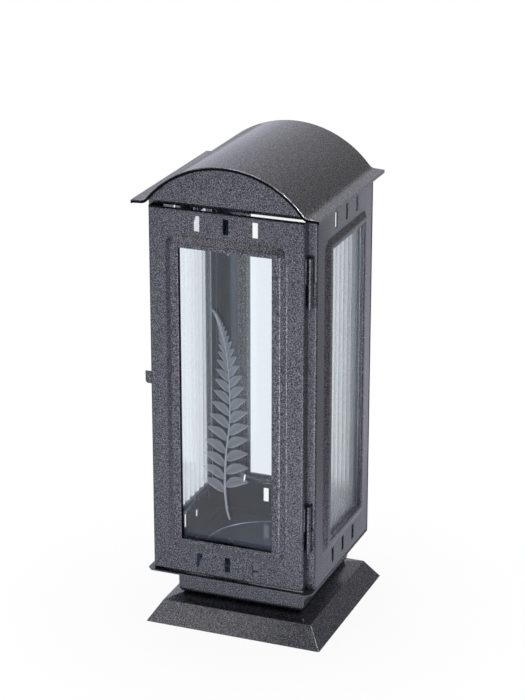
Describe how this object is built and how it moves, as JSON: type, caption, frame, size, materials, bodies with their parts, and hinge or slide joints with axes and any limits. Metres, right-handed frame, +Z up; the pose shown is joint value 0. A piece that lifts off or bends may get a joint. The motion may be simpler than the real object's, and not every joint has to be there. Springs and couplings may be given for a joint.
{
  "type": "grave lantern",
  "caption": "Upright grave lantern: pressed foot, neck and floor tray, glazed sheet walls, barrel roof and a glazed hinged door.",
  "frame": {"origin": "on the ground, in the middle of the whole lantern's footprint box", "axes": "+X to the right seen from the door, +Y from the door to the back wall, +Z up"},
  "size_m": [0.1352, 0.1408, 0.3478],
  "materials": {
    "hammered_paint": "gloss hammered silver-black paint on sheet steel",
    "painted_rivet": "steel rivets under the same gloss paint",
    "painted_spring_steel": "gloss painted spring steel",
    "pin_steel": "plain steel wire, lightly painted over",
    "clear_glass": "clear float glass, the door pane engraved with a frosted fern sprig",
    "reeded_glass": "reeded glass with upright ribs on its inner face"
  },
  "bodies": {
    "housing": {"base_skirt": "hammered_paint", "neck_pan": "hammered_paint", "foot_rivets": "painted_rivet", "floor_plate": "hammered_paint", "floor_rivets": "painted_rivet", "right_wall": "hammered_paint", "left_wall": "hammered_paint", "back_wall": "hammered_paint", "front_rail": "hammered_paint", "right_glass": "reeded_glass", "left_glass": "reeded_glass", "back_glass": "clear_glass", "right_pane_clips": "hammered_paint", "left_pane_clips": "hammered_paint", "back_pane_clips": "hammered_paint", "roof_sheet": "hammered_paint", "front_gable": "hammered_paint", "back_gable": "hammered_paint", "lower_hinge_body_leaf": "hammered_paint", "lower_hinge_pin": "pin_steel", "upper_hinge_body_leaf": "hammered_paint", "upper_hinge_pin": "pin_steel"},
    "door": {"door_panel": "hammered_paint", "door_glass": "clear_glass", "door_pane_clips": "hammered_paint", "door_latch": "painted_spring_steel", "lower_hinge_door_leaf": "hammered_paint", "upper_hinge_door_leaf": "hammered_paint"}
  },
  "joints": [
    {"name": "door_hinge", "type": "hinge", "parent": "housing", "child": "door", "pos_m": [0.0557, -0.0544, 0.18], "axis": [0, 0, 1], "range_deg": [0, 140]}
  ]
}
